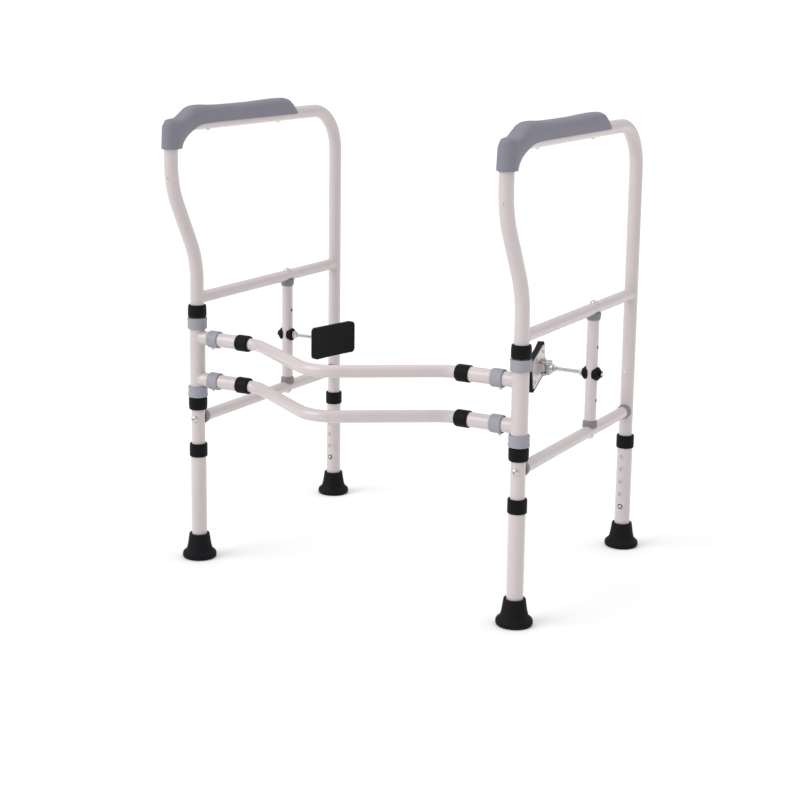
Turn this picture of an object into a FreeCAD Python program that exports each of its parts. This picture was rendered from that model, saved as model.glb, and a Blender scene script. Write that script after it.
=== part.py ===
import FreeCAD, Part
import math
import os

# Toilet safety frame: two side frames on height-adjustable legs, joined at one
# end by two bowed cross bars, with a clamp pad on each side for the bowl.
# Millimetres, Z up, X across the bowl, Y from the cross bars to the far legs.
# The origin is on the floor, under the middle of the whole object.

V = FreeCAD.Vector
os.makedirs("parts", exist_ok=True)

# --- driving dimensions ----------------------------------------------------

half_span = 290.0        # middle plane to the leg axes
leg_pitch = 430.0        # near leg axis to far leg axis
fit_gap = 0.05           # radial clearance of every running fit
face_gap = 0.3           # between faces that turn or slide past each other

# handle tube, seen from the side: lean, front top corner and far top corner
tube_d = 22.2
tube_wall = 1.2
tube_end_z = 55.0        # lower ends, inside the legs
lean_start_z = 503.0
lean_end_z = 626.0
lean_reach = 65.0        # how far the handle leans out past the near leg
handle_z = 722.5
lean_bend = 140.0
front_bend = 36.0
far_bend = 74.0

# struts and clamp post
strut_d = 19.0
strut_wall = 1.2
upper_strut_z = 439.0
lower_strut_z = 238.5
post_offset = 270.0      # near leg axis to the clamp post axis
clamp_z = 333.5
post_hole_pitch = 43.5
saddle_d = 24.0
saddle_grip = 3.0        # how far a saddle wraps past the side of its tube
saddle_length = 9.0      # from the tube's surface to the strut's end
saddle_seat_d = strut_d + 1.5
spigot_length = 18.0

# bolts
bolt_d = 6.0
bolt_head_d = 11.0
bolt_head_h = 3.6
screw_d = 4.0
screw_head_d = 7.5
screw_head_h = 2.6
head_sink = 0.6          # how far a head is bedded in the round tube
screw_sink = 0.3
bolt_end_gap = 2.0       # from a bolt's end to the end of the plug it holds
screw_reach = tube_d + 5.0

# legs
leg_d = 25.4
leg_top_z = 192.0
leg_foot_z = 8.0
leg_collar_d = 29.6
leg_collar_z = (174.0, 196.0)
rim_round = 1.2          # on the black collars
button_z = 71.5
button_pitch = 22.0
button_count = 5
button_hole_d = 7.0
button_d = 6.4
button_proud = 1.8

# rubber feet
foot_d = 56.5
foot_flange_z = 6.0
foot_neck_d = 46.0
foot_top_d = 32.6
foot_h = 41.0

# hinge stack on the near leg
tee_d = 25.4
tee_bore_d = 22.8
tee_z = (277.5, 405.0)
bushing_d = 32.5
bushing_h = 18.4
bushing_lip = 2.5
collar_d = 30.6
collar_h = 20.5
stop_gap = 0.7           # between a bushing and the collar that stops it
bar_z = (305.0, 374.4)   # lower and upper cross bar

# cross bars and their sleeves, distances from the middle plane
bar_d = 19.0
bar_wall = 1.5
bar_end_x = 270.0
bar_bend_x = 171.0
bow_corner = 114.0
bow_bend = 60.0
arm_bend = 45.0
sleeve_d = 22.6
cap_d = 26.4
cap_x = (186.0, 209.0)
cap_lip = 5.0            # how far a cap reaches past its sleeve
cap_round = 2.6
ring_d = 28.0
ring_x = (245.0, 264.0)
stub_seam_x = 255.0
lock_screw_d = 3.2
stub_floor = 3.0         # from the end of a stub's bore to the tee's outside

# clamp: distances along X from the post axis
rod_d = 6.0
shoe_d = 22.0
shoe_start = 3.5
shoe_wide_end = 11.0
shoe_end_d = 14.0
shoe_end = 14.5
nut_d = 11.0
nut_length = 3.0
lock_nut_d = 11.5
lock_nut_length = 6.0
washer_t = 1.2
rod_outer = 18.5
rod_collar_d = 10.0
rod_collar_t = 4.0       # room for each collar and its gap
pivot_reach = 84.0       # post axis to the pad's pivot pin
pad_length = 100.0
pad_height = 55.0
rubber_thickness = 9.5
rubber_hollow = 2.5
plate_length = 90.0
plate_height = 46.0
plate_thickness = 2.5
plate_back = 7.0         # pivot pin to the back of the plate
plate_round = 6.0
rubber_round = 7.0
pad_roll = {"left": 0.0, "right": 10.0}
pad_yaw = {"left": 12.0, "right": 12.0}

# yoke, pin and lug: distances from the pivot pin
hub_start = 10.5
hub_end = 18.5
hub_d = 14.0
yoke_plate_t = 3.0
yoke_half_width = 7.0
ear_d = 12.0
ear_z = (8.0, 11.0)
pin_d = 5.0
pin_head_d = 9.0
pin_head_h = 3.0
lug_d = 10.0
lug_half_h = 7.5

# armrest
rest_sleeve_d = 29.5
rest_sleeve_z = 686.0
rest_width = 35.0
rest_top_z = 752.0
rest_screws = (34.0, 240.0)
rest_sleeve_end = 5.0    # near leg axis back to where the sleeve stops going round
rest_low_z = 721.5
rest_crown = 11.0        # rounding along the top edges
rest_crown_z = 714.5
rest_profile = [         # distance from the near leg axis, drop from the top
    (-57.0, 17.0),
    (-44.0, 12.0),
    (-26.0, 3.0),
    (-6.0, 0.0),
    (24.0, 0.5),
    (60.0, 2.2),
    (155.0, 2.2),
    (250.0, 0.8),
    (264.0, 3.5),
    (274.0, 11.0),
    (284.0, 26.0),
]

# --- derived places --------------------------------------------------------

bow_angle = math.atan(bow_corner / bar_bend_x)
bow_reach = bow_corner - bow_bend * (1 / math.cos(bow_angle) - 1)
near_y = (bow_reach + bar_d / 2 - leg_pitch - foot_d / 2) / 2
far_y = near_y + leg_pitch
post_y = near_y + post_offset
front_y = near_y - lean_reach
pivot_x = half_span - pivot_reach


# --- shape helpers ---------------------------------------------------------

def rod(d, start, end):
    """A round bar from one point to another."""
    run = end - start
    return Part.makeCylinder(d / 2, run.Length, start, run)


def ring(d, bore, start, end):
    """A round bar with a bore right through it."""
    return rod(d, start, end).cut(rod(bore, start, end))


def cone(d_start, d_end, start, end):
    run = end - start
    return Part.makeCone(d_start / 2, d_end / 2, run.Length, start, run)


def box(low, high):
    size = high - low
    return Part.makeBox(size.x, size.y, size.z, low)


def path(points, radii):
    """A wire through the points, with an arc of each radius at the inner ones."""
    edges = []
    start = points[0]
    for before, corner, after, radius in zip(points, points[1:], points[2:], radii):
        a = (before - corner).normalize()
        b = (after - corner).normalize()
        half = a.getAngle(b) / 2
        middle = (a + b).normalize()
        reach = radius / math.tan(half)
        centre = corner + middle * (radius / math.sin(half))
        first = corner + a * reach
        last = corner + b * reach
        edges.append(Part.LineSegment(start, first).toShape())
        edges.append(Part.Arc(first, centre - middle * radius, last).toShape())
        start = last
    edges.append(Part.LineSegment(start, points[-1]).toShape())
    return Part.Wire(edges)


def bent_bar(d, points, radii):
    """A solid round bar swept along a bent path."""
    wire = path(points, radii)
    circle = Part.Wire(Part.makeCircle(d / 2, points[0], points[1] - points[0]))
    return wire.makePipeShell([circle], True, False)


def dome(d, h, base, out):
    """A low domed head: the cap of a ball that is d across and h high."""
    radius = (d * d / 4 + h * h) / (2 * h)
    ball = Part.makeSphere(radius, base + out * (h - radius))
    return ball.common(rod(d, base, base + out * 2 * h))


def bolt(head_d, head_h, shank_d, length, base, out):
    """A domed bolt whose head sits on base and points along out."""
    shank = rod(shank_d, base - out * length, base + out * head_h / 2)
    return dome(head_d, head_h, base, out).fuse(shank)


def round_edges(shape, d):
    """The shape's full circular edges of that diameter."""
    return [edge for edge in shape.Edges if abs(edge.Length - math.pi * d) < 0.1]


def corner_edges(shape, length):
    """The shape's straight edges of that length."""
    return [edge for edge in shape.Edges if abs(edge.Length - length) < 0.01]


def save(node, shape):
    """Writes one node, after a check that its solids are sound."""
    if not shape.isValid():
        raise ValueError(node + " is not a valid shape")
    shape.exportStep("parts/" + node + ".step")
    print(node, len(shape.Solids), round(shape.Volume))


X, Y, Z = V(1, 0, 0), V(0, 1, 0), V(0, 0, 1)


def side(y, z):
    """A point in the right side frame's plane."""
    return V(half_span, y, z)


# --- right side frame ------------------------------------------------------

handle_points = [
    side(near_y, tube_end_z),
    side(near_y, lean_start_z),
    side(front_y, lean_end_z),
    side(front_y, handle_z),
    side(far_y, handle_z),
    side(far_y, tube_end_z),
]
handle_radii = [lean_bend, lean_bend, front_bend, far_bend]
handle_solid = bent_bar(tube_d, handle_points, handle_radii)


def make_handle_tube():
    shape = handle_solid.cut(bent_bar(tube_d - 2 * tube_wall, handle_points, handle_radii))
    reach = Y * tube_d
    for y, inward in ((near_y, 1), (far_y, -1)):
        axis = side(y, button_z)
        shape = shape.cut(rod(button_hole_d, axis, axis + reach * inward))
        axis = side(y, lower_strut_z)
        shape = shape.cut(rod(bolt_d, axis - reach, axis + reach))
    for offset in rest_screws:
        base = side(near_y + offset, handle_z)
        shape = shape.cut(rod(screw_d, base - Z * tube_d, base + Z * tube_d))
    return shape


def make_upper_strut():
    near, far = side(near_y, upper_strut_z), side(far_y, upper_strut_z)
    shape = ring(strut_d, strut_d - 2 * strut_wall, near, far).cut(handle_solid)
    top = side(post_y, upper_strut_z)
    return shape.cut(rod(bolt_d, top - Z * strut_d, top + Z * strut_d))


def make_lower_strut():
    inset = tube_d / 2 + saddle_length
    start = side(near_y + inset, lower_strut_z)
    end = side(far_y - inset, lower_strut_z)
    shape = ring(strut_d, strut_d - 2 * strut_wall, start, end)
    low = side(post_y, lower_strut_z)
    return shape.cut(rod(bolt_d, low - Z * strut_d, low + Z * strut_d))


post_low_z = lower_strut_z + strut_d / 2 + saddle_length
post_high_z = upper_strut_z - strut_d / 2 - saddle_length


def make_clamp_post():
    low, high = side(post_y, post_low_z), side(post_y, post_high_z)
    shape = ring(strut_d, strut_d - 2 * strut_wall, low, high)
    for step in (-1, 0, 1):
        centre = side(post_y, clamp_z + step * post_hole_pitch)
        hole = rod(rod_d + 2 * fit_gap, centre - X * strut_d, centre + X * strut_d)
        shape = shape.cut(hole)
    return shape


def make_saddle(axis, out, surface, tube):
    """A plastic end plug: a collar that hugs a tube and a spigot in a strut."""
    start = axis + out * (surface - saddle_grip)
    seat = axis + out * (surface + saddle_length)
    collar = cone(saddle_d, saddle_seat_d, start, seat)
    spigot = rod(strut_d - 2 * strut_wall, seat, seat + out * spigot_length)
    bore = rod(bolt_d, axis, seat + out * 2 * spigot_length)
    return collar.fuse(spigot).cut(tube).cut(bore)


def make_post_saddles():
    saddles = []
    for z, out in ((lower_strut_z, Z), (upper_strut_z, -Z)):
        tube = rod(strut_d, side(near_y, z), side(far_y, z))
        saddles.append(make_saddle(side(post_y, z), out, strut_d / 2, tube))
    return Part.Compound(saddles)


def make_strut_saddles():
    saddles = []
    for y, out in ((near_y, Y), (far_y, -Y)):
        saddles.append(make_saddle(side(y, lower_strut_z), out, tube_d / 2, handle_solid))
    return Part.Compound(saddles)


def make_frame_bolts(tubes):
    """Bolts through the saddles and screws into the armrest, bedded in the tubes."""
    bolts = []
    head_h = bolt_head_h + head_sink
    hold = saddle_length + spigot_length - bolt_end_gap
    for y, out in ((near_y, -Y), (far_y, Y)):
        base = side(y, lower_strut_z) + out * (tube_d / 2 - head_sink)
        bolts.append(bolt(bolt_head_d, head_h, bolt_d, tube_d + hold, base, out))
    for z, out in ((lower_strut_z, -Z), (upper_strut_z, Z)):
        base = side(post_y, z) + out * (strut_d / 2 - head_sink)
        bolts.append(bolt(bolt_head_d, head_h, bolt_d, strut_d + hold, base, out))
    head_h = screw_head_h + screw_sink
    for offset in rest_screws:
        base = side(near_y + offset, handle_z - tube_d / 2 + screw_sink)
        bolts.append(bolt(screw_head_d, head_h, screw_d, screw_reach, base, -Z))
    return Part.Compound([shape.cut(tubes) for shape in bolts])


def make_stop_collars():
    """Two clips on the near tube that keep the hinge from sliding."""
    low = tee_z[0] - bushing_lip - stop_gap
    high = tee_z[1] + bushing_lip + stop_gap
    collars = []
    for start, end in ((low - collar_h, low), (high, high + collar_h)):
        shape = ring(collar_d, tube_d, side(near_y, start), side(near_y, end))
        collars.append(shape.makeFillet(rim_round, round_edges(shape, collar_d)))
    return Part.Compound(collars)


def make_clamp_shoes():
    """Black spacers that hug the post on both sides, under the two nuts."""
    axis = side(post_y, clamp_z)
    post = rod(strut_d, side(post_y, post_low_z), side(post_y, post_high_z))
    bore = rod(rod_d + 2 * fit_gap, axis - X * shoe_d, axis + X * shoe_d)
    shoes = []
    for out in (X, -X):
        wide = rod(shoe_d, axis + out * shoe_start, axis + out * shoe_wide_end)
        taper = cone(shoe_d, shoe_end_d, axis + out * shoe_wide_end, axis + out * shoe_end)
        shoes.append(wide.fuse(taper).cut(post).cut(bore))
    return Part.Compound(shoes)


def make_armrest():
    """A moulded grip: a sleeve round the front bend and a pad on the top run."""
    points = [
        side(front_y, rest_sleeve_z),
        side(front_y, handle_z),
        side(near_y - rest_sleeve_end, handle_z),
    ]
    sleeve = bent_bar(rest_sleeve_d, points, [front_bend])
    nose, end = near_y + rest_profile[0][0], near_y + rest_profile[-1][0]
    outline = [side(near_y + along, rest_top_z - drop) for along, drop in rest_profile]
    outline = [side(nose, rest_low_z)] + outline + [side(end, rest_low_z), side(nose, rest_low_z)]
    slab = Part.Face(Part.makePolygon(outline)).extrude(X * rest_width)
    slab.translate(X * (-rest_width / 2))
    low = V(half_span - rest_width / 2, nose, rest_crown_z)
    high = V(half_span + rest_width / 2, end, rest_top_z)
    section = box(low, high)
    crest = [edge for edge in corner_edges(section, end - nose) if edge.CenterOfMass.z > rest_low_z]
    pad = slab.common(section.makeFillet(rest_crown, crest))
    for offset in rest_screws:
        base = side(near_y + offset, handle_z - tube_d / 2)
        pad = pad.cut(rod(screw_d, base, base + Z * (screw_reach + screw_sink)))
    return sleeve.fuse(pad).cut(handle_solid)


# --- right hinge: tee, bushings, sleeves ------------------------------------

def bar_level(x, z):
    """A point on a cross bar's straight end, x from the middle plane."""
    return V(x, near_y, z)


def make_tee_sleeve():
    low, high = side(near_y, tee_z[0]), side(near_y, tee_z[1])
    shape = rod(tee_d, low, high)
    for z in bar_z:
        shape = shape.fuse(rod(sleeve_d, bar_level(stub_seam_x, z), bar_level(half_span, z)))
    shape = shape.cut(rod(tee_bore_d, low, high))
    for z in bar_z:
        wall_x = half_span - tee_d / 2 - stub_floor
        bore = rod(bar_d + 2 * fit_gap, bar_level(stub_seam_x, z), bar_level(wall_x, z))
        shape = shape.cut(bore)
    return shape


def make_hinge_bushings():
    """Two cups that carry the tee on the near tube."""
    bushings = []
    for z, out in ((tee_z[0], -Z), (tee_z[1], Z)):
        end = side(near_y, z) + out * bushing_lip
        mouth = end - out * bushing_h
        shape = rod(bushing_d, end, mouth)
        shape = shape.cut(rod(tee_d, side(near_y, z), mouth))
        shape = shape.cut(rod(tube_d + 2 * fit_gap, end, mouth))
        bushings.append(shape)
    return Part.Compound(bushings)


def sleeve_group(d, bore, x_low, x_high):
    """The same round piece on the lower and the upper bar."""
    return [ring(d, bore, bar_level(x_low, z), bar_level(x_high, z)) for z in bar_z]


def make_width_sleeves():
    start = cap_x[0] + cap_lip
    return Part.Compound(sleeve_group(sleeve_d, bar_d + 2 * fit_gap, start, stub_seam_x))


def make_width_rings():
    rings = []
    for shape, z in zip(sleeve_group(ring_d, sleeve_d, *ring_x), bar_z):
        head = bar_level(stub_seam_x, z)
        rings.append(shape.cut(rod(lock_screw_d, head, head - Z * ring_d)))
    return Part.Compound(rings)


def make_sleeve_caps():
    """Black end caps, rounded where the bar comes out."""
    caps = []
    for shape, z in zip(sleeve_group(cap_d, bar_d + 2 * fit_gap, *cap_x), bar_z):
        rim = [edge for edge in round_edges(shape, cap_d) if edge.CenterOfMass.x < cap_x[0] + cap_lip]
        seat = rod(sleeve_d, bar_level(cap_x[0] + cap_lip, z), bar_level(cap_x[1], z))
        caps.append(shape.makeFillet(cap_round, rim).cut(seat))
    return Part.Compound(caps)


# --- right legs --------------------------------------------------------------

def make_leg(y, inward):
    """A lower leg tube with a row of height holes that face inward."""
    shape = ring(leg_d, tube_d + 2 * fit_gap, side(y, leg_foot_z), side(y, leg_top_z))
    for step in range(button_count):
        axis = side(y, button_z + step * button_pitch)
        shape = shape.cut(rod(button_hole_d, axis, axis + Y * inward * leg_d))
    return shape


def make_leg_collar(y):
    low, high = leg_collar_z
    shape = rod(leg_collar_d, side(y, low), side(y, high))
    shape = shape.makeFillet(rim_round, round_edges(shape, leg_collar_d))
    shape = shape.cut(rod(leg_d, side(y, low), side(y, leg_top_z)))
    return shape.cut(rod(tube_d + 2 * fit_gap, side(y, low), side(y, high)))


def make_foot(y):
    """A rubber ferrule: a flared tread, a waist and a neck round the leg."""
    outline = [
        V(0, 0, 0),
        V(foot_d / 2 - 3, 0, 0),
        V(foot_d / 2 - 1.2, 0, foot_flange_z / 4),
        V(foot_d / 2, 0, foot_flange_z),
        V(foot_d / 2 - 1.4, 0, foot_flange_z * 1.5),
        V(foot_neck_d / 2, 0, foot_flange_z * 2.2),
        V(foot_top_d / 2 + 2.2, 0, foot_h * 0.6),
        V(foot_top_d / 2, 0, foot_h - 1),
        V(foot_top_d / 2 - 1, 0, foot_h),
        V(0, 0, foot_h),
        V(0, 0, 0),
    ]
    shape = Part.Face(Part.makePolygon(outline)).revolve(V(0, 0, 0), Z, 360)
    shape = shape.cut(rod(leg_d, V(0, 0, leg_foot_z), V(0, 0, foot_h)))
    shape.translate(side(y, 0))
    return shape


def make_button(y, inward):
    """The head of a leg's spring button, in the lowest of its holes."""
    base = side(y, button_z) + Y * inward * (tube_d / 2 + fit_gap)
    neck = base + Y * inward * (leg_d - tube_d) / 2
    shape = rod(button_d, base, neck)
    return shape.fuse(dome(button_d, button_proud, neck, Y * inward))


# --- right clamp -------------------------------------------------------------

def clamp_point(x):
    """A point on the clamp rod's axis, x from the middle plane."""
    return V(x, post_y, clamp_z)


hub_x = (pivot_x + hub_start, pivot_x + hub_end)


def make_clamp_rod():
    """A threaded rod with a collar nut on each side of the yoke's hub."""
    inner = clamp_point(hub_x[0] - rod_collar_t)
    outer = clamp_point(hub_x[1] + rod_collar_t)
    head = rod(rod_collar_d, inner, clamp_point(hub_x[0] - face_gap))
    collar = rod(rod_collar_d, clamp_point(hub_x[1] + face_gap), outer)
    shape = rod(rod_d, inner, clamp_point(half_span + rod_outer))
    return shape.fuse(head).fuse(collar)


def hex_nut(d, bore, start, end):
    """A six-sided nut, d across its corners, with its axis along X."""
    corners = []
    for step in range(7):
        angle = math.radians(60 * step)
        corners.append(start + V(0, math.cos(angle), math.sin(angle)) * (d / 2))
    shape = Part.Face(Part.makePolygon(corners)).extrude(end - start)
    return shape.cut(rod(bore, start, end))


def make_adjust_nut():
    start = half_span + shoe_end + face_gap
    end = start + nut_length
    return hex_nut(nut_d, rod_d + 2 * fit_gap, clamp_point(start), clamp_point(end))


def make_lock_nut():
    start = half_span - shoe_end - face_gap
    end = start - lock_nut_length
    shape = hex_nut(lock_nut_d, rod_d + 2 * fit_gap, clamp_point(start), clamp_point(end))
    washer_end = clamp_point(start - washer_t)
    washer = ring(shoe_end_d, rod_d + 2 * fit_gap, clamp_point(start), washer_end)
    return shape.fuse(washer)


def about_clamp(shape, roll, yaw=0.0):
    """Turns a clamp piece to its place: yaw about the pin, then roll about the rod."""
    shape.rotate(clamp_point(pivot_x), Z, yaw)
    shape.rotate(clamp_point(pivot_x), X, roll)
    return shape


def clamp_box(x, y, z):
    """A box about the pivot, from ranges of x, y and z measured from it."""
    pivot = clamp_point(pivot_x)
    return box(pivot + V(x[0], y[0], z[0]), pivot + V(x[1], y[1], z[1]))


def make_yoke(roll):
    """A hub on the rod, two ears and the pin that carries the pad."""
    pivot = clamp_point(pivot_x)
    web = (hub_start, hub_start + yoke_plate_t)
    shape = clamp_box(web, (-yoke_half_width, yoke_half_width), (-ear_z[1], ear_z[1]))
    shape = shape.fuse(rod(hub_d, clamp_point(hub_x[0]), clamp_point(hub_x[1])))
    for low, high in (ear_z, (-ear_z[1], -ear_z[0])):
        ear = clamp_box((0, web[1]), (-ear_d / 2, ear_d / 2), (low, high))
        shape = shape.fuse(ear.fuse(rod(ear_d, pivot + Z * low, pivot + Z * high)))
    shape = shape.fuse(rod(pin_d, pivot - Z * ear_z[1], pivot + Z * ear_z[1]))
    for out in (Z, -Z):
        shape = shape.fuse(dome(pin_head_d, pin_head_h, pivot + out * ear_z[1], out))
    bore = rod(rod_d + 2 * fit_gap, clamp_point(hub_x[0]), clamp_point(hub_x[1]))
    return about_clamp(shape.cut(bore), roll)


def make_pad_plate(roll, yaw):
    """A steel plate with a lug that the yoke's pin goes through."""
    pivot = clamp_point(pivot_x)
    half_y, half_z = plate_length / 2, plate_height / 2
    faces = (-plate_back - plate_thickness, -plate_back)
    plate = clamp_box(faces, (-half_y, half_y), (-half_z, half_z))
    plate = plate.makeFillet(plate_round, corner_edges(plate, plate_thickness))
    lug = clamp_box((faces[0], 0), (-lug_d / 2, lug_d / 2), (-lug_half_h, lug_half_h))
    lug = lug.fuse(rod(lug_d, pivot - Z * lug_half_h, pivot + Z * lug_half_h))
    bore = rod(pin_d + 2 * fit_gap, pivot - Z * lug_half_h, pivot + Z * lug_half_h)
    return about_clamp(plate.fuse(lug).cut(bore), roll, yaw)


def make_pad_rubber(roll, yaw):
    """The rubber pad, hollowed a little across its length."""
    half_y, half_z = pad_length / 2, pad_height / 2
    back = -plate_back - plate_thickness
    face = back - rubber_thickness
    shape = clamp_box((face, back), (-half_y, half_y), (-half_z, half_z))
    shape = shape.makeFillet(rubber_round, corner_edges(shape, rubber_thickness))
    radius = (half_y * half_y + rubber_hollow * rubber_hollow) / (2 * rubber_hollow)
    centre = clamp_point(pivot_x + face + rubber_hollow - radius)
    hollow = rod(2 * radius, centre - Z * half_z, centre + Z * half_z)
    return about_clamp(shape.cut(hollow), roll, yaw)


# --- cross bars --------------------------------------------------------------

def make_crossbar(z):
    """One bowed tube, straight at both ends where the sleeves slide."""
    points = [
        V(-bar_end_x, near_y, z),
        V(-bar_bend_x, near_y, z),
        V(0, near_y - bow_corner, z),
        V(bar_bend_x, near_y, z),
        V(bar_end_x, near_y, z),
    ]
    radii = [arm_bend, bow_bend, arm_bend]
    return bent_bar(bar_d, points, radii).cut(bent_bar(bar_d - 2 * bar_wall, points, radii))


# --- make and write every node -----------------------------------------------

right_tubes = {
    "handle_tube": make_handle_tube(),
    "upper_strut": make_upper_strut(),
    "lower_strut": make_lower_strut(),
}
right_nodes = {
    **right_tubes,
    "clamp_post": make_clamp_post(),
    "post_saddles": make_post_saddles(),
    "strut_saddles": make_strut_saddles(),
    "frame_bolts": make_frame_bolts(Part.Compound(list(right_tubes.values()))),
    "stop_collars": make_stop_collars(),
    "clamp_shoes": make_clamp_shoes(),
    "armrest": make_armrest(),
    "tee_sleeve": make_tee_sleeve(),
    "hinge_bushings": make_hinge_bushings(),
    "width_sleeves": make_width_sleeves(),
    "width_rings": make_width_rings(),
    "sleeve_caps": make_sleeve_caps(),
    "adjust_nut": make_adjust_nut(),
    "lock_nut": make_lock_nut(),
    "clamp_rod": make_clamp_rod(),
}
for place, y, inward in (("near", near_y, 1), ("far", far_y, -1)):
    right_nodes[place + "_leg"] = make_leg(y, inward)
    right_nodes[place + "_collar"] = make_leg_collar(y)
    right_nodes[place + "_foot"] = make_foot(y)
    right_nodes[place + "_button"] = make_button(y, inward)

for hand in ("left", "right"):
    nodes = dict(right_nodes)
    nodes["yoke"] = make_yoke(pad_roll[hand])
    nodes["pad_plate"] = make_pad_plate(pad_roll[hand], pad_yaw[hand])
    nodes["pad_rubber"] = make_pad_rubber(pad_roll[hand], pad_yaw[hand])
    for name, shape in nodes.items():
        if hand == "left":
            shape = shape.mirror(V(0, 0, 0), X)
        save(hand + "_" + name, shape)

for name, z in (("crossbar_lower", bar_z[0]), ("crossbar_upper", bar_z[1])):
    save(name, make_crossbar(z))
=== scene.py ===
import math

import bmesh
import bpy
from mathutils import Matrix, Vector


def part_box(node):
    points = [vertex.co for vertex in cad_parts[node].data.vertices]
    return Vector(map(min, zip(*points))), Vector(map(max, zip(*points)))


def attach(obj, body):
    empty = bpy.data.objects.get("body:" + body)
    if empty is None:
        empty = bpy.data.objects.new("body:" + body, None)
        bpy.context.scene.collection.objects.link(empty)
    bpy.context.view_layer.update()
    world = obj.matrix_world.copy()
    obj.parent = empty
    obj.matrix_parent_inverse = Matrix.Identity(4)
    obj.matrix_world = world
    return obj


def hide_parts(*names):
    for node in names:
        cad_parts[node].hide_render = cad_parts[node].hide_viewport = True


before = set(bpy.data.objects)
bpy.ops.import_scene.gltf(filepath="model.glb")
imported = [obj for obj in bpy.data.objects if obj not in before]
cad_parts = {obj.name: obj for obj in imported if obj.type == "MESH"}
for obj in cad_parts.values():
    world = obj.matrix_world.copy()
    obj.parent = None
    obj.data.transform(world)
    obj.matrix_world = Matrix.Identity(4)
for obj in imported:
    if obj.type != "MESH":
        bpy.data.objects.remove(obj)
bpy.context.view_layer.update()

X, Y, Z = Vector((1, 0, 0)), Vector((0, 1, 0)), Vector((0, 0, 1))


# --- tubes ---------------------------------------------------------------------
# The hoops, struts, posts, legs, hinge tees, width sleeves and bowed cross bars.
# Thin round steel tube, bent cold and powder coated in one warm off-white.

class Shade:
    """A socket in a finish's nodes, so that sums written in Python add Math nodes."""

    def __init__(self, tree, socket=None):
        self.tree = tree
        self.socket = socket

    def add(self, kind, settings, values, output=0):
        """A new node of that kind: its settings first, then its sockets' values or links."""
        node = self.tree.nodes.new("ShaderNode" + kind)
        for setting, value in settings.items():
            setattr(node, setting, value)
        for key, value in values.items():
            if isinstance(value, Shade):
                self.tree.links.new(value.socket, node.inputs[key])
            else:
                node.inputs[key].default_value = value
        return Shade(self.tree, node.outputs[output])

    def math(self, operation, *values):
        return self.add("Math", {"operation": operation}, dict(enumerate(values)))

    def __add__(self, other):
        return self.math("ADD", self, other)

    def __mul__(self, other):
        return self.math("MULTIPLY", self, other)

    __radd__ = __add__
    __rmul__ = __mul__


def grain(shade, scale, detail, stretch=(1, 1, 1)):
    """Cloudy noise in cells to the metre, on the piece's own coordinates."""
    place = shade.add("TexCoord", {}, {}, "Object")
    place = shade.add("Mapping", {}, {"Vector": place, "Scale": stretch})
    return shade.add("TexNoise", {}, {"Vector": place, "Scale": scale, "Detail": detail}, 0)


def between(shade, value, low, high):
    """0 below low, 1 above high, and a smooth rise from one to the other."""
    return shade.add(
        "MapRange", {"interpolation_type": "SMOOTHSTEP"},
        {"Value": value, "From Min": low, "From Max": high}, 0,
    )


def tint(shade, share, first, second):
    """The first colour, turning to the second as the share rises."""
    return shade.add("Mix", {"data_type": "RGBA"}, {0: share, 6: first, 7: second}, 2)


def relief(shade, height, depth, strength):
    return shade.add(
        "Bump", {}, {"Height": height, "Distance": depth, "Strength": strength}, "Normal"
    )


def new_finish(name, fixed, varied):
    """A finish: the shader's fixed values, and what its recipe varies over the surface."""
    finish = bpy.data.materials.new(name)
    finish.use_nodes = True
    shader = finish.node_tree.nodes["Principled BSDF"]
    for socket, value in fixed.items():
        shader.inputs[socket].default_value = value
    for socket, value in varied(Shade(finish.node_tree)).items():
        finish.node_tree.links.new(value.socket, shader.inputs[socket])
    return finish


def powder_coat(shade):
    """Faint mottling, an orange-peel skin and a few dull streaks along the tube."""
    mottle = grain(shade, 16, detail=4)
    peel = grain(shade, 520, detail=1)
    streak = between(shade, grain(shade, 60, detail=5, stretch=(1, 1, 0.1)), 0.58, 0.74)
    clean = tint(shade, mottle, (0.6, 0.527, 0.53, 1), (0.545, 0.487, 0.49, 1))
    return {
        "Base Color": tint(shade, 0.16 * streak, clean, (0.4, 0.365, 0.365, 1)),
        "Roughness": 0.25 + 0.12 * mottle + 0.14 * streak,
        "Normal": relief(shade, peel, 0.00006, 0.5),
    }


def paint_nodes(finish, *names):
    """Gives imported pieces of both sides, or of neither, their finish."""
    for name in names:
        for node in (name, "right_" + name, "left_" + name):
            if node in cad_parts:
                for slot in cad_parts[node].material_slots:
                    slot.material = finish


paint = new_finish(
    "off_white_powder_coat", {"Coat Weight": 0.35, "Coat Roughness": 0.12}, powder_coat,
)
paint_nodes(
    paint, "handle_tube", "upper_strut", "lower_strut", "clamp_post", "near_leg", "far_leg",
    "tee_sleeve", "width_sleeves", "crossbar_lower", "crossbar_upper",
)


# --- welds ---------------------------------------------------------------------
# Where the upper strut meets the hoop and each stub meets its tee, a run of weld
# goes all the way round, dressed smooth and painted over with the tubes.

def middle(node):
    low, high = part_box(node)
    return (low + high) / 2


def facing(place, out, along):
    """Turns a shape's Z to point out and its X along, and moves it to its place."""
    across = out.cross(along)
    turn = Matrix((along, across, out)).transposed().to_4x4()
    return Matrix.Translation(place) @ turn


def draped(shape, tube_r, below, grip):
    """Lifts what is below a height so that it hugs a round tube lying along X."""
    for vert in shape.verts:
        if vert.co.z < below:
            side = tube_r * tube_r - vert.co.y * vert.co.y
            vert.co.z += max(math.sqrt(max(side, 0)), grip)


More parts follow.
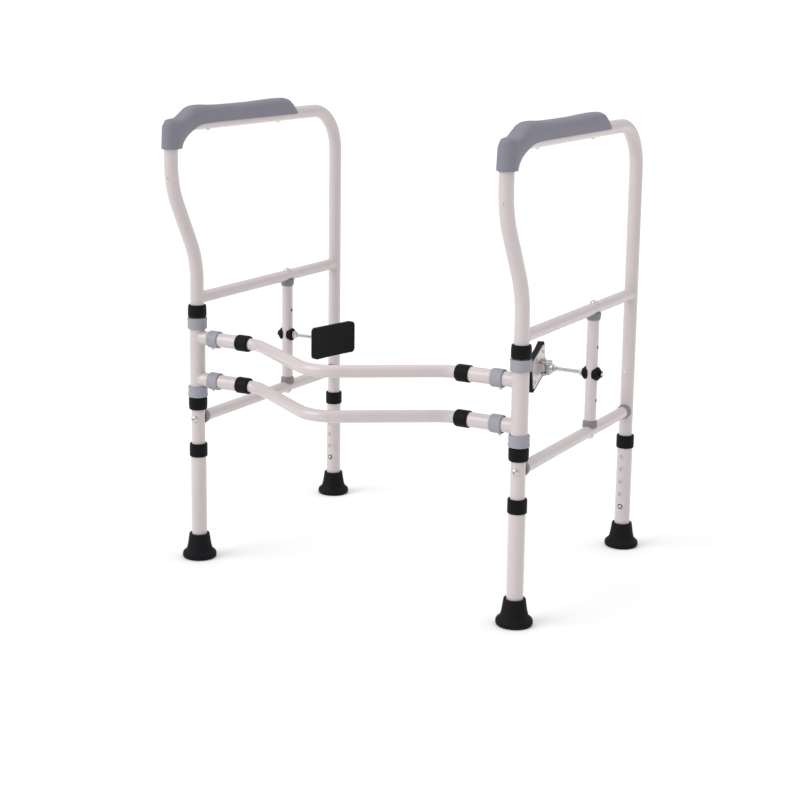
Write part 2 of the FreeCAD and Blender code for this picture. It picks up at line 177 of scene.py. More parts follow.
def fit_piece(shape, name, body, finish, replaced=(), mirrored=False, crease=32):
    """Makes a shape a piece of the object that moves with its body."""
    if mirrored:
        shape.transform(Matrix.Scale(-1, 4, X))
        bmesh.ops.reverse_faces(shape, faces=shape.faces)
    mesh = bpy.data.meshes.new(name)
    shape.to_mesh(mesh)
    shape.free()
    mesh.shade_smooth()
    mesh.set_sharp_from_angle(angle=math.radians(crease))
    mesh.materials.append(finish)
    piece = bpy.data.objects.new(name, mesh)
    bpy.context.scene.collection.objects.link(piece)
    shading = piece.modifiers.new("even_shading", "WEIGHTED_NORMAL")
    shading.keep_sharp = True
    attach(piece, body)
    if replaced:
        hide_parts(*replaced)
    return piece


def fit_pair(make, name, body, finish, slot, *replaced):
    """A piece on the right side and its mirror image on the left."""
    for hand in ("right", "left"):
        nodes = [f"{hand}_{node}" for node in replaced]
        fit_piece(make(), f"{hand}_{name}", f"{hand}_{body}", finish, nodes, hand == "left")


def spun(shape, steps):
    """Spins what is in the shape right round Z, and closes its seam and its poles."""
    bmesh.ops.spin(
        shape, geom=shape.verts[:] + shape.edges[:], cent=(0, 0, 0), axis=(0, 0, 1),
        angle=math.tau, steps=steps, use_merge=True,
    )
    bmesh.ops.remove_doubles(shape, verts=shape.verts, dist=1e-6)
    bmesh.ops.recalc_face_normals(shape, faces=shape.faces)


def joined(*parts):
    """Several shapes as one."""
    whole = bmesh.new()
    for part in parts:
        mesh = bpy.data.meshes.new("part")
        part.to_mesh(mesh)
        part.free()
        whole.from_mesh(mesh)
        bpy.data.meshes.remove(mesh)
    return whole


def weld_ring(tube_r, stub_r, size, place, out, along):
    """A flattened bead round the end of a stub that stands on a tube."""
    shape = bmesh.new()
    bmesh.ops.create_circle(shape, segments=10, radius=size)
    shape.transform(Matrix.Translation((stub_r, 0, 0)) @ Matrix.Rotation(math.pi / 2, 4, "X"))
    spun(shape, 56)
    draped(shape, tube_r * 0.995, math.inf, tube_r * 0.3)
    shape.transform(facing(place, out, along))
    return shape


hoop_r, strut_r, leg_r, tee_r = 0.0111, 0.0095, 0.0127, 0.013
strut_level = middle("right_upper_strut").z
near_axis, far_axis = middle("right_near_leg"), middle("right_far_leg")
bar_levels = (middle("crossbar_lower").z, middle("crossbar_upper").z)


def strut_welds():
    near = Vector((near_axis.x, near_axis.y, strut_level))
    far = Vector((far_axis.x, far_axis.y, strut_level))
    return joined(
        weld_ring(hoop_r, stub_r=0.0093, size=0.0024, place=near, out=Y, along=Z),
        weld_ring(hoop_r, stub_r=0.0093, size=0.0024, place=far, out=-Y, along=-Z),
    )


def stub_welds():
    places = [Vector((near_axis.x, near_axis.y, level)) for level in bar_levels]
    return joined(*[
        weld_ring(tee_r, stub_r=0.0108, size=0.0015, place=place, out=-X, along=Z)
        for place in places
    ])


fit_pair(strut_welds, "strut_welds", "frame", paint, "frame_paint")
fit_pair(stub_welds, "stub_welds", "hinge", paint, "frame_paint")


# --- saddles -------------------------------------------------------------------
# Dark grey plugs at both ends of the lower strut and of the clamp post. Moulded
# nylon: a spigot goes into the tube, and the collar hugs the tube it stands on.

def moulded(shade, colour, worn, size, depth):
    """Moulded plastic: a fine spark-eroded skin and slightly paler, duller patches."""
    patch = grain(shade, 45, detail=4)
    skin = grain(shade, size, detail=2)
    return {
        "Base Color": tint(shade, patch, colour, worn),
        "Roughness": 0.42 + 0.14 * patch + 0.1 * skin,
        "Normal": relief(shade, skin, depth, 0.6),
    }


def turned(outline, closed=True, steps=48):
    """A turned piece from its outline, as (radius, height) pairs in millimetres."""
    shape = bmesh.new()
    corners = [shape.verts.new((r / 1000, 0, h / 1000)) for r, h in outline]
    for pair in zip(corners, corners[1:] + corners[:1] if closed else corners[1:]):
        shape.edges.new(pair)
    spun(shape, steps)
    return shape


def saddle(tube_r, place, out, along):
    """A round collar that stands 9 mm off a tube and is hollowed to hug it."""
    seat = tube_r * 1000 + 9
    shape = turned([
        (0, 0), (3, 0), (6, 0), (9, 0), (11.5, 0), (12, 0.5), (12, 1.6),
        (11.3, seat - 3.4), (11, seat - 2.2), (10.5, seat - 1), (9.4, seat), (0, seat),
    ], closed=False, steps=56)
    draped(shape, tube_r, 0.0019, tube_r - 0.003)
    shape.transform(facing(place, out, along))
    return shape


saddle_plastic = new_finish(
    "dark_grey_nylon", {"Specular IOR Level": 0.4},
    lambda shade: moulded(
        shade, (0.19, 0.182, 0.19, 1), (0.225, 0.217, 0.225, 1), size=1500, depth=0.00005,
    ),
)
post = middle("right_clamp_post")
low_strut = middle("right_lower_strut")


def post_saddles():
    low = Vector((post.x, post.y, low_strut.z))
    high = Vector((post.x, post.y, strut_level))
    return joined(saddle(strut_r, low, Z, Y), saddle(strut_r, high, -Z, Y))


def strut_saddles():
    near = Vector((near_axis.x, near_axis.y, low_strut.z))
    far = Vector((far_axis.x, far_axis.y, low_strut.z))
    return joined(saddle(hoop_r, near, Y, Z), saddle(hoop_r, far, -Y, Z))


fit_pair(
    post_saddles, "post_saddle_pair", "frame", saddle_plastic, "saddle_grey", "post_saddles",
)
fit_pair(
    strut_saddles, "strut_saddle_pair", "frame", saddle_plastic, "saddle_grey", "strut_saddles",
)


# --- bolts ---------------------------------------------------------------------
# Domed hexagon-socket bolts draw the saddles up against their tubes, two small screws
# hold the armrest from below, and each hoop has a blind rivet on its far tube and a
# vent pin at the front of its handle. Turned steel, bright zinc plated.

def zinc(shade):
    """Bright plating with cloudy passivation and fine turning marks."""
    cloud = grain(shade, 240, detail=3)
    marks = grain(shade, 900, detail=2, stretch=(1, 1, 6))
    return {
        "Base Color": tint(shade, cloud, (0.5, 0.505, 0.52, 1), (0.68, 0.67, 0.645, 1)),
        "Roughness": 0.2 + 0.2 * cloud,
        "Normal": relief(shade, marks, 0.00003, 0.5),
    }


def six_sided(shape, across, within=math.inf):
    """Cuts what lies inside a radius down to six flats."""
    for vert in shape.verts:
        reach = math.hypot(vert.co.x, vert.co.y)
        if 1e-7 < reach < within:
            turn = math.atan2(vert.co.y, vert.co.x) % (math.pi / 3) - math.pi / 6
            size = min(1, across / 2 / math.cos(turn) / reach)
            vert.co.x *= size
            vert.co.y *= size


def dome_bolt(place, out, head_r=5.5, head_h=3.6, washer_r=6.6, socket=3.4):
    """A domed head with a six-sided socket, on its washer."""
    outline = [(0, head_h - 2.4), (socket * 0.56, head_h - 2.4), (socket * 0.58, head_h - 0.05)]
    for step in range(7):
        angle = math.radians(20 + 70 * step / 6)
        outline.append((head_r * math.sin(angle), head_h * (0.18 + 0.82 * math.cos(angle))))
    outline += [(head_r, 0.1), (washer_r - 0.3, 0), (washer_r, -0.35), (washer_r, -1.3), (0, -1.3)]
    head = turned(outline, closed=False, steps=36)
    six_sided(head, socket / 1000, socket * 0.6 / 1000)
    along = Z if abs(out.z) < 0.5 else Y
    head.transform(facing(place, out, along))
    return head


bright_zinc = new_finish("bright_zinc", {"Metallic": 1.0}, zinc)
handle_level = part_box("right_handle_tube")[1].z - hoop_r
armrest_screws = (0.034, 0.240)      # back from the near leg
rivet_level, pin_level = 0.304, 0.641


def frame_bolts():
    near = Vector((near_axis.x, near_axis.y - hoop_r, low_strut.z))
    far = Vector((far_axis.x, far_axis.y + hoop_r, low_strut.z))
    low = Vector((post.x, post.y, low_strut.z - strut_r))
    high = Vector((post.x, post.y, strut_level + strut_r))
    heads = [dome_bolt(near, -Y), dome_bolt(far, Y), dome_bolt(low, -Z), dome_bolt(high, Z)]
    for along in armrest_screws:
        under = Vector((near_axis.x, near_axis.y + along, handle_level - 0.0108))
        heads.append(dome_bolt(under, -Z, head_r=3.7, head_h=2.4, washer_r=4.3, socket=2.4))
    return joined(*heads)


def hoop_rivets():
    """A blind rivet on the far tube, and a vent pin on the front of the handle."""
    rivet = turned([
        (0, 1.5), (1.1, 1.4), (2.2, 0.9), (2.8, 0.1), (2.8, -1.2), (0, -1.2),
    ], closed=False, steps=24)
    rivet.transform(facing(Vector((far_axis.x, far_axis.y - hoop_r, rivet_level)), -Y, Z))
    pin = turned([(0, 0.2), (0.9, 0.15), (1.2, -0.2), (1.2, -1), (0, -1)], closed=False, steps=18)
    handle_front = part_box("right_handle_tube")[0].y
    pin.transform(facing(Vector((near_axis.x, handle_front, pin_level)), -Y, Z))
    return joined(rivet, pin)


fit_pair(frame_bolts, "frame_bolt_heads", "frame", bright_zinc, "zinc_steel", "frame_bolts")
fit_pair(hoop_rivets, "hoop_rivets", "frame", bright_zinc, "zinc_steel")


# --- armrests ------------------------------------------------------------------
# One grey moulding on each hoop. A sleeve goes up round the front bend, swells to
# a shoulder and a hump, then lies along the top of the tube as a crowned pad.

armrest_sections = [
    # mm: along, height and degrees of slope; half width, above, below; squareness
    (-65.0, 686.0, 0, 13.6, 13.6, 22.0, 2.0),
    (-65.0, 686.5, 0, 14.7, 14.8, 23.0, 2.0),
    (-65.0, 690.0, 0, 14.9, 15.2, 24.8, 2.0),
    (-63.6, 697.0, 14, 15.0, 16.4, 24.4, 2.05),
    (-61.0, 703.4, 27, 15.2, 20.4, 24.3, 2.1),
    (-57.3, 708.8, 38, 15.4, 26.6, 24.0, 2.2),
    (-53.2, 713.3, 48, 15.6, 26.4, 23.6, 2.25),
    (-48.0, 717.1, 58, 15.9, 19.6, 22.8, 2.3),
    (-41.8, 720.2, 69, 16.2, 15.2, 21.6, 2.35),
    (-35.2, 722.0, 80, 16.5, 16.6, 19.5, 2.4),
    (-28.0, 722.5, 90, 16.7, 21.6, 16.2, 2.5),
    (-19.0, 722.5, 90, 17.0, 26.6, 10.5, 2.6),
    (-9.0, 722.5, 90, 17.3, 29.0, 4.7, 2.7),
    (2.0, 722.5, 90, 17.5, 29.45, 1.5, 2.8),
    (14.0, 722.5, 90, 17.5, 29.2, 0.3, 2.9),
    (32.0, 722.5, 90, 17.5, 27.9, -1.0, 3.0),
    (60.0, 722.5, 90, 17.5, 27.0, -1.5, 3.1),
    (105.0, 722.5, 90, 17.5, 26.8, -1.5, 3.1),
    (150.0, 722.5, 90, 17.5, 27.0, -1.5, 3.1),
    (185.0, 722.5, 90, 17.5, 28.0, -1.5, 3.1),
    (225.0, 722.5, 90, 17.5, 28.9, -1.5, 3.1),
    (252.0, 722.5, 90, 17.4, 28.6, -1.5, 3.0),
    (262.0, 722.5, 90, 17.2, 26.2, -1.5, 2.9),
    (270.0, 722.5, 90, 16.8, 20.6, -1.5, 2.8),
    (276.5, 722.5, 90, 16.2, 13.6, -1.5, 2.7),
    (281.0, 722.5, 90, 15.2, 7.4, -1.5, 2.6),
    (283.4, 722.5, 90, 14.0, 3.4, -1.5, 2.5),
]


def armrest():
    """Lofts the moulding by extruding a ring from one section to the next."""
    shape = bmesh.new()
    around = shape.verts.layers.float.new("around")
    bmesh.ops.create_circle(shape, cap_ends=True, segments=32, radius=1)
    for vert in shape.verts:
        vert[around] = math.atan2(vert.co.y, vert.co.x)
    ring, end = shape.verts[:], shape.faces[:]
    for number, section in enumerate(armrest_sections):
        along, height, slope, half_width, above, below, square = section
        if number:
            grown = bmesh.ops.extrude_face_region(shape, geom=end)["geom"]
            ring = [part for part in grown if isinstance(part, bmesh.types.BMVert)]
            end = [part for part in grown if isinstance(part, bmesh.types.BMFace)]
        lean = math.radians(slope)
        for vert in ring:
            across, up = math.cos(vert[around]), math.sin(vert[around])
            up = math.copysign(abs(up) ** (2 / square), up) * (above if up > 0 else below)
            across = math.copysign(abs(across) ** (2 / square), across) * half_width
            vert.co.x = near_axis.x + across / 1000
            vert.co.y = near_axis.y + (along - up * math.cos(lean)) / 1000
            vert.co.z = (height + up * math.sin(lean)) / 1000
    bmesh.ops.recalc_face_normals(shape, faces=shape.faces)
    return shape


grip_plastic = new_finish(
    "armrest_grey_moulding", {"Specular IOR Level": 0.35},
    lambda shade: moulded(
        shade, (0.192, 0.188, 0.232, 1), (0.22, 0.216, 0.262, 1), size=1300, depth=0.00009,
    ),
)
for hand in ("right", "left"):
    grip = fit_piece(
        armrest(), hand + "_armrest_grip", hand + "_frame", grip_plastic,
        [hand + "_armrest"], hand == "left", crease=70,
    )
    rounding = grip.modifiers.new("rounding", "SUBSURF")
    rounding.levels = rounding.render_levels = 1


# --- legs ----------------------------------------------------------------------
# A black collar closes the top of each lower leg, a sprung button locks it in one of
# its holes, ringed by a thin black band that paints the shade of the gap round it,
# and a flared rubber ferrule with a ringed tread is pushed on below.

def rubber(shade):
    """Matt black rubber, with a bloom in patches and the grain of its mould."""
    bloom = grain(shade, 70, detail=5)
    skin = grain(shade, 1100, detail=3)
    return {
        "Base Color": tint(shade, bloom, (0.004, 0.004, 0.0052, 1), (0.009, 0.009, 0.0105, 1)),
        "Roughness": 0.5 + 0.2 * bloom + 0.08 * skin,
        "Normal": relief(shade, skin, 0.00012, 0.6),
    }


foot_outline = [
    (0, 1.4), (9, 1.4), (9.6, 0), (13, 0), (13.6, 1.4), (17.4, 1.4), (18, 0), (21.4, 0),
    (22, 1.2), (23.6, 1.2), (24.2, 0), (25.8, 0), (27.3, 0.8), (28.1, 2.4), (28.25, 4.4),
    (28.1, 6.6), (27.3, 8.6), (25.7, 10.2), (23.7, 11.6), (22.2, 13.4), (21.0, 16.2),
    (20.0, 20), (19.1, 25), (18.2, 31), (17.4, 36.4), (17.1, 37.2), (17.15, 38.4),
    (16.9, 40), (16.2, 40.8), (15.2, 41), (13.9, 40.8), (13.2, 39.6), (12.72, 38.6),
    (12.72, 8), (0, 8),
]
leg_collar_outline = [
    (12.72, 174), (13.9, 174), (14.5, 174.5), (14.8, 175.6), (14.8, 178.2), (14.55, 178.5),
    (14.55, 179), (14.8, 179.3), (14.8, 193.6), (14.55, 195), (13.9, 195.8), (13, 196),
    (11.6, 196), (11.14, 195.5), (11.14, 192.1), (12.72, 192.1),
]
button_outline = [
    (0, 1.8), (0.9, 1.74), (1.8, 1.45), (2.5, 0.95), (3.0, 0.3), (3.2, -0.3), (3.2, -1.5),
    (0, -1.5),
]
black_rubber = new_finish("black_rubber_moulding", {"Specular IOR Level": 0.11}, rubber)
black_nylon = new_finish(
    "black_nylon", {"Specular IOR Level": 0.11},
    lambda shade: moulded(
        shade, (0.003, 0.003, 0.004, 1), (0.006, 0.006, 0.0075, 1), size=1400, depth=0.00003,
    ),
)
for leg, axis, inward in (("near", near_axis, Y), ("far", far_axis, -Y)):
    foot_place = Vector((axis.x, axis.y, 0))
    button_place = Vector((axis.x, axis.y, middle(f"right_{leg}_button").z))

    def foot():
        shape = turned(foot_outline, closed=False, steps=64)
        shape.transform(Matrix.Translation(foot_place))
        return shape

    def leg_collar():
        shape = turned(leg_collar_outline, steps=56)
        shape.transform(Matrix.Translation(foot_place))
        return shape

    def button():
        shape = turned(button_outline, closed=False, steps=28)
        shape.transform(facing(button_place + inward * leg_r, inward, Z))
        return shape

    # A thin black ring round the button: painted shade for the gap between the button and its hole.
    def button_gap_shade():
        return weld_ring(leg_r, stub_r=0.0038, size=0.0006, place=button_place, out=inward, along=Z)

    body = leg + "_lower_leg"
    fit_pair(button_gap_shade, leg + "_button_seal", body, black_nylon, "black_plastic")
    fit_pair(foot, leg + "_ferrule", body, black_rubber, "black_rubber", leg + "_foot")
    fit_pair(
        leg_collar, leg + "_leg_collar", body, black_nylon, "black_plastic", leg + "_collar",
    )
    fit_pair(
        button, leg + "_snap_button", leg + "_snap", bright_zinc, "zinc_steel", leg + "_button",
    )


# --- hinges --------------------------------------------------------------------
# Two pale grey bushings carry the tee on the near tube, and a black collar above
# and below, clipped round the tube, keeps it at its height. All four are moulded.

bushing_outline = [
    (11.14, 275.2), (15.2, 275.3), (16.0, 275.7), (16.25, 276.5), (16.25, 279.4), (15.95, 280.1),
    (15.8, 281), (15.8, 291.8), (15.5, 293), (14.8, 293.4), (13.2, 293.4), (12.74, 292.9),
    (12.74, 277.6), (11.14, 277.6),
]
stop_outline = [
    (11.12, 253.8), (13.2, 253.8), (14.2, 254.3), (14.75, 255.4), (15.05, 258), (15.25, 262),
    (15.3, 270.4), (15.15, 272.5), (14.7, 273.6), (13.8, 274), (11.12, 274),
]
hinge_plastic = new_finish(
    "pale_grey_nylon", {"Specular IOR Level": 0.45},
    lambda shade: moulded(
        shade, (0.28, 0.272, 0.315, 1), (0.32, 0.312, 0.36, 1), size=1500, depth=0.00005,
    ),
)
tee_middle = middle("right_tee_sleeve").z * 1000


def stacked(outline):
    """A turned piece at the foot of the tee, and the same upside down at its head."""
    above = [(r, 2 * tee_middle - h) for r, h in outline]
    shape = joined(turned(outline, steps=56), turned(above, steps=56))
    shape.transform(Matrix.Translation((near_axis.x, near_axis.y, 0)))
    return shape


fit_pair(
    lambda: stacked(bushing_outline), "bushing_pair", "hinge", hinge_plastic, "hinge_grey",
    "hinge_bushings",
)
fit_pair(
    lambda: stacked(stop_outline), "stop_collar_pair", "frame", black_nylon, "black_plastic",
    "stop_collars",
)


# --- width sleeves ---------------------------------------------------------------
# On each end of each cross bar a grey ring ties the painted sleeve to the tee's
# stub, with a small lock screw below, and a black cap closes the inner end.

ring_outline = [
    (11.32, 245.8), (12, 245.1), (12.9, 245), (13.6, 245.4), (13.95, 246.6), (14, 248.4),
    (14, 262), (13.85, 263.3), (13.4, 264), (12.5, 264), (12.3, 263.4), (12.2, 260.4),
    (11.32, 260.4),
]
cap_outline = [
    (9.56, 186.4), (10.2, 186), (11.4, 186.2), (12.4, 187.1), (13.0, 188.5), (13.2, 190.4),
    (13.2, 205.2), (12.95, 205.6), (12.95, 206.2), (13.2, 206.6), (13.15, 208), (12.8, 208.8),
    (12.1, 209), (11.32, 208.8), (11.32, 191), (9.56, 191),
]


def on_both_bars(outline):
    """The same turned piece round the lower and the upper bar."""
    rounds = []
    for level in bar_levels:
        shape = turned(outline, steps=56)
        shape.transform(facing(Vector((0, near_axis.y, level)), X, Z))
        rounds.append(shape)
    return joined(*rounds)


def lock_screws():
    """Small screws with a plain round head, half way along the rings, from below."""
    ring_middle = 0.2585
    screws = []
    for level in bar_levels:
        shape = turned([
            (0, 17.2), (1.7, 17.2), (2.2, 16.8), (2.3, 16), (2.3, 14.6), (1.55, 14.3),
            (1.55, 12), (0, 12),
        ], closed=False, steps=18)
        shape.transform(facing(Vector((ring_middle, near_axis.y, level)), -Z, X))
        screws.append(shape)
    return joined(*screws)


fit_pair(
    lambda: on_both_bars(ring_outline), "width_ring_pair", "hinge", hinge_plastic, "hinge_grey",
    "width_rings",
)
fit_pair(
    lambda: on_both_bars(cap_outline), "sleeve_cap_pair", "hinge", black_nylon, "black_plastic",
    "sleeve_caps",
)
fit_pair(lock_screws, "ring_lock_screws", "hinge", bright_zinc, "zinc_steel")


# --- clamps: shoes and nuts --------------------------------------------------------
# A black shoe hugs the post on each side of the rod's hole. The outer nut draws the
# rod out, and the nut and washer on the inner side lock it. Nylon and plated steel.

rod_axis = Vector((post.x, post.y, middle("right_adjust_nut").z))


def shoe(out):
    shape = turned([
        (3.1, 0), (6, 0), (8.5, 0), (10.6, 0), (11, 0.4), (11, 1.4), (11, 10.4), (10.7, 11.1),
        (7.6, 14.1), (6.9, 14.5), (3.6, 14.5), (3.1, 14.2),
    ], steps=56)
    draped(shape, strut_r, below=0.0015, grip=0.0035)
    shape.transform(facing(rod_axis, out, Z))
    return shape


def hex_nut(across, start, end, flange=0.0):
    """A chamfered nut between two heights, with a round flange at its start."""
    corner = across / 2 / math.cos(math.pi / 6)
    shape = turned([
        (3.05, start), (3.6, start), (corner - 0.7, start), (corner, start + 0.5),
        (corner, end - 0.5), (corner - 0.7, end), (3.6, end), (3.05, end - 0.4),
    ], steps=48)
    six_sided(shape, across / 1000)
    if not flange:
        return shape
    plate = turned([
        (3.05, start - 1.2), (flange - 0.3, start - 1.2), (flange, start - 0.9),
        (flange, start - 0.4), (flange - 0.5, start), (3.05, start),
    ], steps=40)
    return joined(shape, plate)


def outer_nut():
    shape = hex_nut(9.5, 14.85, 17.8)
    shape.transform(facing(rod_axis, X, Z))
    return shape


def inner_nut():
    shape = hex_nut(9.96, 16.0, 20.8, flange=7.0)
    shape.transform(facing(rod_axis, -X, Z))
    return shape


fit_pair(
    lambda: joined(shoe(X), shoe(-X)), "shoe_pair", "frame", black_nylon, "black_plastic",
    "clamp_shoes",
)
fit_pair(outer_nut, "adjusting_nut", "adjust_nut", black_nylon, "black_plastic", "adjust_nut")
fit_pair(inner_nut, "locking_nut", "lock_nut", bright_zinc, "zinc_steel", "lock_nut")


# --- clamps: threaded rods ---------------------------------------------------------
# Steel rod with a rolled 1 mm thread from its jam nuts to its outer end, which is
# chamfered. The two jam nuts hold the yoke's hub between them.

rod_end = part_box("right_clamp_rod")[1].x


def threaded_rod():
    turns, steps, pitch = 84, 20, 0.001
    start = rod_end - 0.0008 - turns * pitch
    thread = bmesh.new()
    root_r, crest_r = 0.0026, 0.003
    profile = ((root_r, 0, 0), (crest_r, 0, pitch / 2), (root_r, 0, pitch))
    tooth = [thread.verts.new(place) for place in profile]
    for pair in zip(tooth, tooth[1:]):
        thread.edges.new(pair)
    bmesh.ops.spin(
        thread, geom=thread.verts[:] + thread.edges[:], cent=(0, 0, 0), axis=(0, 0, 1),
        dvec=(0, 0, pitch / steps), angle=math.tau * turns, steps=turns * steps,
    )
    bmesh.ops.remove_doubles(thread, verts=thread.verts, dist=1e-6)
    rims = [edge for edge in thread.edges if edge.is_boundary]
    bmesh.ops.holes_fill(thread, edges=rims, sides=0)
    bmesh.ops.recalc_face_normals(thread, faces=thread.faces)
    thread.transform(facing(Vector((start, rod_axis.y, rod_axis.z)), X, Z))
    length = rod_end * 1000
    core = turned([
        (0, 216), (2.62, 216), (2.62, length - 0.7), (2.1, length), (0, length),
    ], closed=False)
    inner_jam = hex_nut(8.8, 212.6, 216.1)
    outer_jam = hex_nut(8.8, 224.9, 228.4)
    body = joined(core, inner_jam, outer_jam)
    body.transform(facing(Vector((0, rod_axis.y, rod_axis.z)), X, Z))
    return joined(thread, body)


fit_pair(threaded_rod, "threaded_rod", "clamp_rod", bright_zinc, "zinc_steel", "clamp_rod")


# --- clamps: yokes -----------------------------------------------------------------
# A bent steel fork with rounded ears turns on the rod's end. A bolt with a hexagon
# head, two washers and a nut goes through the ears and the lug of the pad between.

pivot = Vector((post.x - 0.084, post.y, rod_axis.z))
# how each pad rests: its roll about the rod, then its yaw about the pin
clamp_turns = {"right": (math.radians(10), math.radians(12)), "left": (0.0, math.radians(12))}


def set_at_pivot(shape, roll, yaw=0.0):
    """Turns a shape made about the pivot: yaw about the pin, then roll about the rod."""
    shape.transform(
        Matrix.Translation(pivot) @ Matrix.Rotation(roll, 4, "X") @ Matrix.Rotation(yaw, 4, "Z")
    )
    return shape


def eased(shape, width, angle=30):
    """Rounds every edge that is sharper than an angle."""
    sharp = [edge for edge in shape.edges if edge.calc_face_angle(0) > math.radians(angle)]
    bmesh.ops.bevel(
        shape, geom=sharp, offset=width, offset_type="OFFSET", segments=3,
        profile=0.5, affect="EDGES", material=-1, clamp_overlap=True,
    )
    return shape


def block(low, high, rounding):
    """A block between two corners in millimetres, with rounded edges."""
    shape = bmesh.new()
    bmesh.ops.create_cube(shape, size=1)
    low, high = Vector(low) / 1000, Vector(high) / 1000
    bmesh.ops.scale(shape, vec=high - low, verts=shape.verts)
    bmesh.ops.translate(shape, vec=(low + high) / 2, verts=shape.verts)
    return eased(shape, rounding / 1000)


def ear(low):
    """A fork ear: a strip whose free end is rounded about the pin."""
    ear_r, ear_reach, ear_t = 0.006, 0.0133, 0.003
    shape = bmesh.new()
    bmesh.ops.create_circle(shape, cap_ends=True, segments=32, radius=ear_r)
    straight = [vert for vert in shape.verts if vert.co.x > 1e-6]
    for vert in straight:
        side = math.copysign(ear_r, vert.co.y) if abs(vert.co.y) > 1e-5 else 0
        vert.co = (ear_reach, side, 0)
    bmesh.ops.remove_doubles(shape, verts=shape.verts, dist=1e-5)
    grown = bmesh.ops.extrude_face_region(shape, geom=shape.faces[:])["geom"]
    top = [part for part in grown if isinstance(part, bmesh.types.BMVert)]
    bmesh.ops.translate(shape, vec=(0, 0, ear_t), verts=top)
    bmesh.ops.translate(shape, vec=(0, 0, low / 1000), verts=shape.verts)
    bmesh.ops.recalc_face_normals(shape, faces=shape.faces)
    return eased(shape, 0.0005)


def yoke():
    web = block((10.5, -7, -11), (13.5, 7, 11), 0.9)
    hub = turned([
        (3.1, 12.5), (6, 12.5), (7, 13.2), (7, 17.4), (6.4, 18.3), (5.6, 18.5), (3.1, 18.5),
    ])
    hub.transform(facing(Vector((0, 0, 0)), X, Z))
    upper_washer = turned([
        (2.5, 11), (5.4, 11), (5.6, 11.2), (5.6, 11.8), (5.4, 12), (2.5, 12),
    ], steps=36)
    lower_washer = turned([
        (2.5, -12), (5.4, -12), (5.6, -11.8), (5.6, -11.2), (5.4, -11), (2.5, -11),
    ], steps=36)
    head = turned([
        (0, 12), (4.6, 12), (5.0, 12.3), (5.0, 14.6), (4.4, 15.2), (3.4, 15.2), (3.0, 14.8),
        (0, 14.8),
    ], closed=False)
    across_flats = 0.0086
    six_sided(head, across_flats)
    nut = turned([
        (0, -15.6), (1.6, -15.6), (2.4, -15.1), (2.45, -14.8), (4.3, -14.8), (4.9, -14.3),
        (4.9, -12.4), (4.6, -12), (0, -12),
    ], closed=False)
    six_sided(nut, across_flats)
    pin = turned([(0, -11.6), (2.5, -11.6), (2.5, 11.6), (0, 11.6)], closed=False, steps=32)
    return joined(web, hub, ear(8), ear(-11), upper_washer, lower_washer, head, nut, pin)


for hand, (roll, _) in clamp_turns.items():
    fit_piece(
        set_at_pivot(yoke(), roll), hand + "_fork", hand + "_yoke", bright_zinc,
        [hand + "_yoke"], hand == "left",
    )


# --- clamps: pads --------------------------------------------------------------------
# A pressed steel plate, painted like the tubes, with a lug for the yoke's pin and
# four rivets, set in the back of a black rubber pad whose face is a little hollow.

def rounded_slab(half_y, half_z, corner, front, back):
    """A slab with round corners between two distances along X, in millimetres."""
    shape = bmesh.new()
    corners = [
        shape.verts.new((back / 1000, y / 1000, z / 1000))
        for y, z in ((-half_y, -half_z), (half_y, -half_z), (half_y, half_z), (-half_y, half_z))
    ]
    shape.faces.new(corners)
    bmesh.ops.bevel(
        shape, geom=corners, offset=corner / 1000, offset_type="OFFSET", segments=8,
        profile=0.5, affect="VERTICES", material=-1,
    )
    grown = bmesh.ops.extrude_face_region(shape, geom=shape.faces[:])["geom"]
    moved = [part for part in grown if isinstance(part, bmesh.types.BMVert)]
    bmesh.ops.translate(shape, vec=((front - back) / 1000, 0, 0), verts=moved)
    bmesh.ops.recalc_face_normals(shape, faces=shape.faces)
    return shape


def pad_plate():
    plate = eased(rounded_slab(45, 23, 6, -9.4, -7), 0.0007)
    lug = block((-8, -5, -7.5), (0, 5, 7.5), 0.6)
    boss = turned([
        (2.55, -7.5), (4.5, -7.5), (5, -7), (5, 7), (4.5, 7.5), (2.55, 7.5),
    ], steps=40)
    rivets = []
    for y in (-33, 33):
        for z in (-14, 14):
            rivet = turned([
                (0, 1.9), (1.4, 1.75), (2.5, 1.3), (3.2, 0.6), (3.5, 0), (3.5, -0.6), (0, -0.6),
            ], closed=False, steps=24)
            rivet.transform(facing(Vector((-0.007, y / 1000, z / 1000)), X, Z))
            rivets.append(rivet)
    return joined(plate, lug, boss, *rivets)


def pad_rubber():
    """The pad: a recess behind for the plate, and a face hollowed along its length."""
    shape = rounded_slab(50, 27.5, 7, -19, -7.6)
    rear = [face for face in shape.faces if face.normal.x > 0.9]
    bmesh.ops.inset_region(shape, faces=rear, thickness=0.0042, use_even_offset=True)
    bmesh.ops.translate(shape, vec=(-0.0018, 0, 0), verts=rear[0].verts)
    front = [face for face in shape.faces if face.normal.x < -0.9]
    bmesh.ops.inset_region(shape, faces=front, thickness=0.0025, use_even_offset=True)
    bmesh.ops.translate(shape, vec=(0.0009, 0, 0), verts=front[0].verts)
    half_length, hollow = 0.05, 0.0025
    for step in range(-9, 10):
        bmesh.ops.bisect_plane(
            shape, geom=shape.verts[:] + shape.edges[:] + shape.faces[:], dist=1e-6,
            plane_co=(0, step * 0.005, 0), plane_no=(0, 1, 0),
        )
    eased(shape, 0.0011, angle=40)
    for vert in shape.verts:
        if vert.co.x < -0.0125:
            vert.co.x += hollow * (1 - (vert.co.y / half_length) ** 2)
    return shape


for hand, (roll, yaw) in clamp_turns.items():
    fit_piece(
        set_at_pivot(pad_plate(), roll, yaw), hand + "_pad_backing", hand + "_pad", paint,
        [hand + "_pad_plate"], hand == "left",
    )
    fit_piece(
        set_at_pivot(pad_rubber(), roll, yaw), hand + "_pad_face", hand + "_pad", black_rubber,
        [hand + "_pad_rubber"], hand == "left", crease=45,
    )


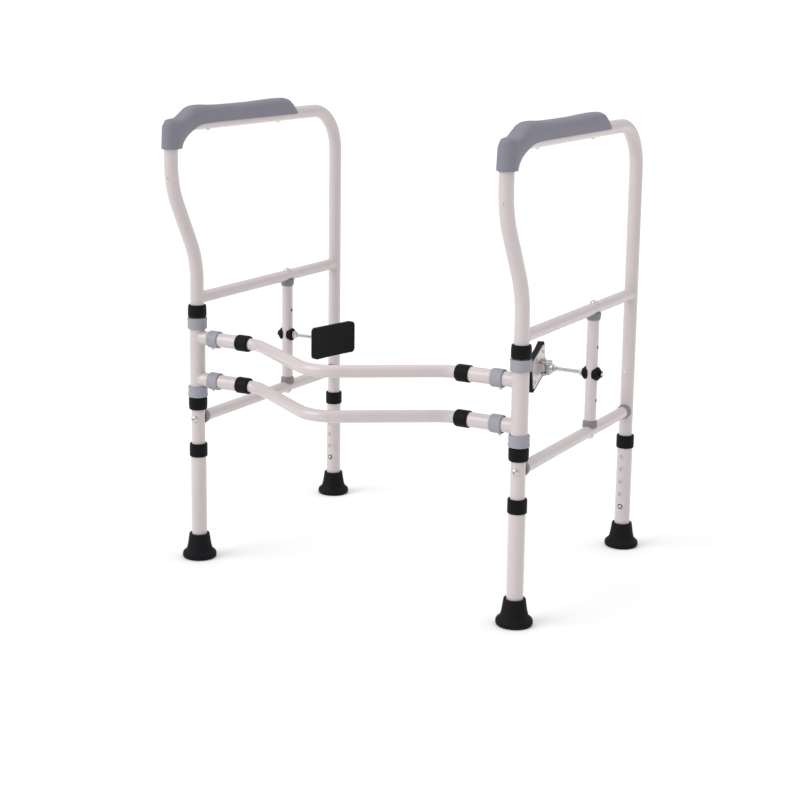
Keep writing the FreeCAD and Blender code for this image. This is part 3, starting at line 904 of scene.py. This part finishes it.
# --- studio --------------------------------------------------------------------------
# A plain pale floor, a broad soft light from the upper left front, a weaker and
# wider one from nearly overhead, and an even white surround. The camera stands at
# the right front, a little above.

def pale_floor(shade):
    cloud = grain(shade, 2, detail=2)
    return {
        "Base Color": tint(shade, cloud, (0.9, 0.9, 0.9, 1), (0.93, 0.93, 0.93, 1)),
        "Roughness": 0.75 + 0.1 * cloud,
    }


floor_shape = bmesh.new()
bmesh.ops.create_circle(floor_shape, cap_ends=True, segments=96, radius=14)
floor_shape.transform(Matrix.Translation((0, 0, -0.0002)))
floor_mesh = bpy.data.meshes.new("floor")
floor_shape.to_mesh(floor_mesh)
floor_shape.free()
floor_mesh.materials.append(new_finish("studio_floor", {}, pale_floor))
floor = bpy.data.objects.new("floor", floor_mesh)
bpy.context.scene.collection.objects.link(floor)

for name, place, strength, spread in (
    ("main_light", (-1.9, -2.2, 2.0), 1.5, 45),
    ("top_light", (0.5, 0.9, 3.0), 1.1, 80),
):
    light = bpy.data.lights.new(name, "SUN")
    light.energy = strength
    light.angle = math.radians(spread)
    holder = bpy.data.objects.new(name, light)
    holder.location = place
    holder.rotation_euler = Vector(place).to_track_quat("Z", "Y").to_euler()
    bpy.context.scene.collection.objects.link(holder)

world = bpy.data.worlds.new("surround")
world.use_nodes = True
surround = Shade(world.node_tree)
seen = surround.add("LightPath", {}, {}, "Is Camera Ray")
strength = 0.62 + 0.43 * seen
world.node_tree.links.new(strength.socket, world.node_tree.nodes["Background"].inputs["Strength"])
world.node_tree.nodes["Background"].inputs["Color"].default_value = (1, 1, 1, 1)
bpy.context.scene.world = world
bpy.context.scene.view_settings.view_transform = "Standard"

camera = bpy.data.objects.new("camera", bpy.data.cameras.new("camera"))
camera.data.lens = 74.35
camera.data.shift_x = 0.0589
camera.data.shift_y = -0.1029
camera.matrix_world = (
    Matrix.Translation((1.2756, -2.3187, 0.9235))
    @ Matrix.Rotation(math.radians(30.64), 4, "Z")
    @ Matrix.Rotation(math.radians(90 - 11.02), 4, "X")
    @ Matrix.Rotation(math.radians(0.44), 4, "Z")
)
bpy.context.scene.collection.objects.link(camera)
bpy.context.scene.camera = camera
